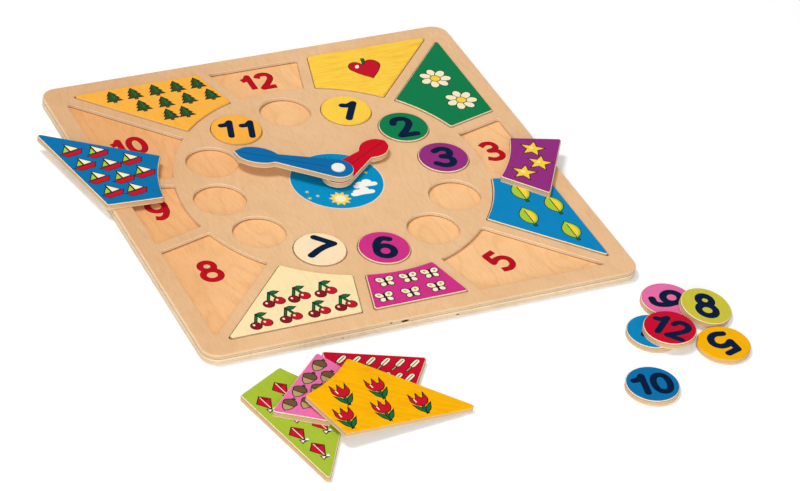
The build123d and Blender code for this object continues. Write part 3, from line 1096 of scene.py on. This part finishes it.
class CLOCK_OT_dial(bpy.types.Operator):
    """Prints the round blue dial under the hands, with a plain sun, clouds and stars"""

    bl_idname = "clock.dial"
    bl_label = "Dial"

    # Prints as motifs, with their places from the pivot; the rim is the tray's tone made paler.
    rim_share = 0.45
    sun = [("yellow", star(10, 0.34), False), ("cream", oval(0, 0, 0.5, 0.5), False)]
    cloud = [
        ("white", oval(0, -0.08, 1.0, 0.2), False),
        ("white", oval(-0.18, 0.04, 0.36, 0.28), False),
        ("white", oval(0.12, 0.09, 0.4, 0.36), False),
    ]
    stars = [(-24, -6), (-19, -12), (-25, -13), (22, 3), (25, 9)]
    dots = [(x, 27 - 0.03 * x * x) for x in (-6, -3, 0, 3, 6)]
    prints = {
        "dial_sun": (15, sun, [(-6, -19)]),
        "dial_clouds": (17, cloud, [(11, -16), (16, -8.5)]),
        "dial_stars": (3.2, [("yellow", star(5, 0.2), False)], stars),
        "dial_dots": (1.1, [("fir", oval(0, 0, 1, 1), False)], dots),
    }

    def execute(self, context):
        sizes = context.scene.clock_sizes
        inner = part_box("base_washer")[1].x - pivot.x
        radius = sizes.dial_diameter / 2
        pale = mixed(colour_of("tray_face"), grey(1.0), self.rim_share)
        for name, start, end, colour in (
            ("dial_rim", radius, radius + sizes.dial_rim, pale),
            ("dial_ground", inner, radius, colour_of("dial")),
        ):
            bm = bmesh.new()
            profile = [bm.verts.new((start, 0, 0)), bm.verts.new((end, 0, 0))]
            bmesh.ops.spin(
                bm,
                geom=[*profile, bm.edges.new(profile)],
                cent=(0, 0, 0),
                axis=(0, 0, 1),
                angle=radians(360),
                steps=96,
                use_merge=True,
            )
            raise_film(bm, (0, 0, sizes.paint_thickness))
            bmesh.ops.translate(bm, verts=bm.verts, vec=(pivot.x, pivot.y, tray_top))
            finished_piece(bm, name, [screen_ink(f"{name}_ink", colour)], "tray")

        ground = spot(pivot.x, pivot.y, tray_top + sizes.paint_thickness)
        for name, motif in self.prints.items():
            printed_motifs(name, motif, ground, 0, "tray")
        return {"FINISHED"}


class CLOCK_OT_wedges(bpy.types.Operator):
    """Paints the twelve counting wedges and prints as many motifs on each as its hour"""

    bl_idname = "clock.wedges"
    bl_label = "Wedges"

    def execute(self, context):
        sizes = context.scene.clock_sizes
        for hour in HOURS:
            node, ground = f"piece_{hour}", wedge_seat(hour)
            painted_piece(node, hour, colour_of(f"hour_{hour}"), ground, GRAIN_TURNS.get(hour, 0))
            above = ground @ spot(0, 0, sizes.paint_thickness)
            width = sizes.outline_width
            printed_motifs(f"{node}_motifs", MOTIFS[hour], above, width, f"{node}_body")
        return {"FINISHED"}


class CLOCK_OT_discs(bpy.types.Operator):
    """Paints the twelve discs and prints their numbers"""

    bl_idname = "clock.discs"
    bl_label = "Number discs"

    # Discs whose paint isn't that of the wedge of their hour.
    own_paint = (7, 8)

    def execute(self, context):
        sizes = context.scene.clock_sizes
        navy = screen_ink("navy_screen_ink", colour_of("navy_ink"))
        for hour in HOURS:
            node = f"disc_{hour}"
            ground = seat_of(node, DISC_TURNS[hour])
            colour = colour_of(node if hour in self.own_paint else f"hour_{hour}")
            painted_piece(node, hour, colour, ground)
            height, stroke = sizes.disc_number_height, sizes.disc_number_stroke
            if hour >= 10:
                height, stroke = sizes.disc_double_height, sizes.disc_double_stroke
            above = ground @ spot(0, 0, sizes.paint_thickness)
            printed_number(f"{node}_number", hour, height, stroke, above, navy, f"{node}_body")
        return {"FINISHED"}


class CLOCK_OT_pocket_numbers(bpy.types.Operator):
    """Prints the red number of each hour on the floor of its wedge pocket"""

    bl_idname = "clock.pocket_numbers"
    bl_label = "Pocket numbers"

    # Middle of each number, 1 to 12, in mm from the middle of the tray, and the turn of a number
    # that isn't upright, in degrees.
    places = (
        (66, 114), (115, 66), (116.9, 1.8), (113, -66), (67.6, -110.4), (0, -120),
        (-66, -112), (-113.6, -65.7), (-120.7, 4.7), (-113.6, 75.8), (-66, 113), (-1.8, 122.5),
    )
    turns = {5: 25}

    def execute(self, context):
        sizes = context.scene.clock_sizes
        red = screen_ink("red_number_ink", colour_of("red_ink"))
        stroke = sizes.pocket_number_stroke
        for hour, (x, y) in zip(HOURS, self.places):
            height = sizes.pocket_number_height if hour < 10 else sizes.pocket_double_height
            place = spot(x * MM, y * MM, pocket_floor) @ turned(self.turns.get(hour, 0))
            printed_number(f"pocket_number_{hour}", hour, height, stroke, place, red, "tray", False)
        return {"FINISHED"}


class CLOCK_OT_studio(bpy.types.Operator):
    """Sets the white floor, the soft lamps and the camera"""

    bl_idname = "clock.studio"
    bl_label = "Studio"

    # Place of each square lamp from the middle of the tray, and its side, in metres.
    lamps = {"key": ((-0.65, 0.5, 2.2), 0.7), "front": ((-0.7, -1.8, 0.75), 1.5)}
    # Point of the tray's top that the camera looks at, in mm from the middle.
    aim = (11.151, -79.987)

    def execute(self, context):
        scene = context.scene
        studio = scene.clock_studio
        bm = bmesh.new()
        bmesh.ops.create_grid(bm, x_segments=2, y_segments=2, size=SWEEP_HALF)
        bmesh.ops.translate(bm, verts=bm.verts, vec=(0, 0, -SWEEP_DROP))
        floor = new_object(bm, "studio_floor", [paper_sweep("white_paper_sweep")])
        scene.world = white_room("white_room", studio.room_light)

        for name, (place, side) in self.lamps.items():
            data = bpy.data.lights.new(f"{name}_lamp", "AREA")
            data.shape = "SQUARE"
            data.size = side
            data.energy = getattr(studio, f"{name}_power")
            lamp = bpy.data.objects.new(f"{name}_lamp", data)
            lamp.location = place
            lamp.rotation_euler = (-Vector(place)).to_track_quat("-Z", "Y").to_euler()
            scene.collection.objects.link(lamp)

        a, e, r = studio.azimuth, studio.elevation, studio.roll
        back = Vector((sin(a) * cos(e), -cos(a) * cos(e), sin(e)))
        right = Vector((cos(a), sin(a), 0))
        up = back.cross(right)
        across = cos(r) * right + sin(r) * up
        upward = cos(r) * up - sin(r) * right
        target = Vector((self.aim[0] * MM, self.aim[1] * MM, tray_top))
        data = bpy.data.cameras.new("camera")
        data.lens = studio.lens
        data.sensor_width = 36.0
        data.sensor_fit = "HORIZONTAL"
        data.clip_end = 100.0
        camera = bpy.data.objects.new("camera", data)
        turn = Matrix((across, upward, back)).transposed().to_4x4()
        camera.matrix_world = Matrix.Translation(target + back * studio.distance) @ turn
        scene.collection.objects.link(camera)
        scene.camera = camera
        scene.view_settings.view_transform = "Standard"
        return {"FINISHED"}


class CLOCK_PT_panel(bpy.types.Panel):
    """Sizes, colours and steps of the puzzle clock's dressing"""

    bl_idname = "CLOCK_PT_panel"
    bl_label = "Puzzle clock"
    bl_space_type = "VIEW_3D"
    bl_region_type = "UI"
    bl_category = "Puzzle clock"

    def draw(self, context):
        layout = self.layout
        for title, group in (
            ("Sizes", context.scene.clock_sizes),
            ("Colours", context.scene.clock_colours),
            ("Studio", context.scene.clock_studio),
        ):
            box = layout.box()
            box.label(text=title)
            for name in group.bl_rna.properties.keys():
                if name not in ("rna_type", "name"):
                    box.prop(group, name)
        for step in STEPS:
            layout.operator(step.bl_idname)


STEPS = (
    CLOCK_OT_studio,
    CLOCK_OT_tray_wood,
    CLOCK_OT_edge_knots,
    CLOCK_OT_pivot,
    CLOCK_OT_dial,
    CLOCK_OT_hands,
    CLOCK_OT_pocket_numbers,
    CLOCK_OT_wedges,
    CLOCK_OT_discs,
)
GROUPS = {"clock_sizes": ClockSizes, "clock_colours": ClockColours, "clock_studio": StudioSettings}


def register():
    for name, group in GROUPS.items():
        bpy.utils.register_class(group)
        setattr(bpy.types.Scene, name, bpy.props.PointerProperty(type=group))
    for step in STEPS:
        bpy.utils.register_class(step)
    bpy.utils.register_class(CLOCK_PT_panel)


def unregister():
    bpy.utils.unregister_class(CLOCK_PT_panel)
    for step in reversed(STEPS):
        bpy.utils.unregister_class(step)
    for name, group in GROUPS.items():
        delattr(bpy.types.Scene, name)
        bpy.utils.unregister_class(group)


def main():
    register()
    for step in STEPS:
        group, name = step.bl_idname.split(".")
        getattr(getattr(bpy.ops, group), name)()


if __name__ == "__main__":
    main()
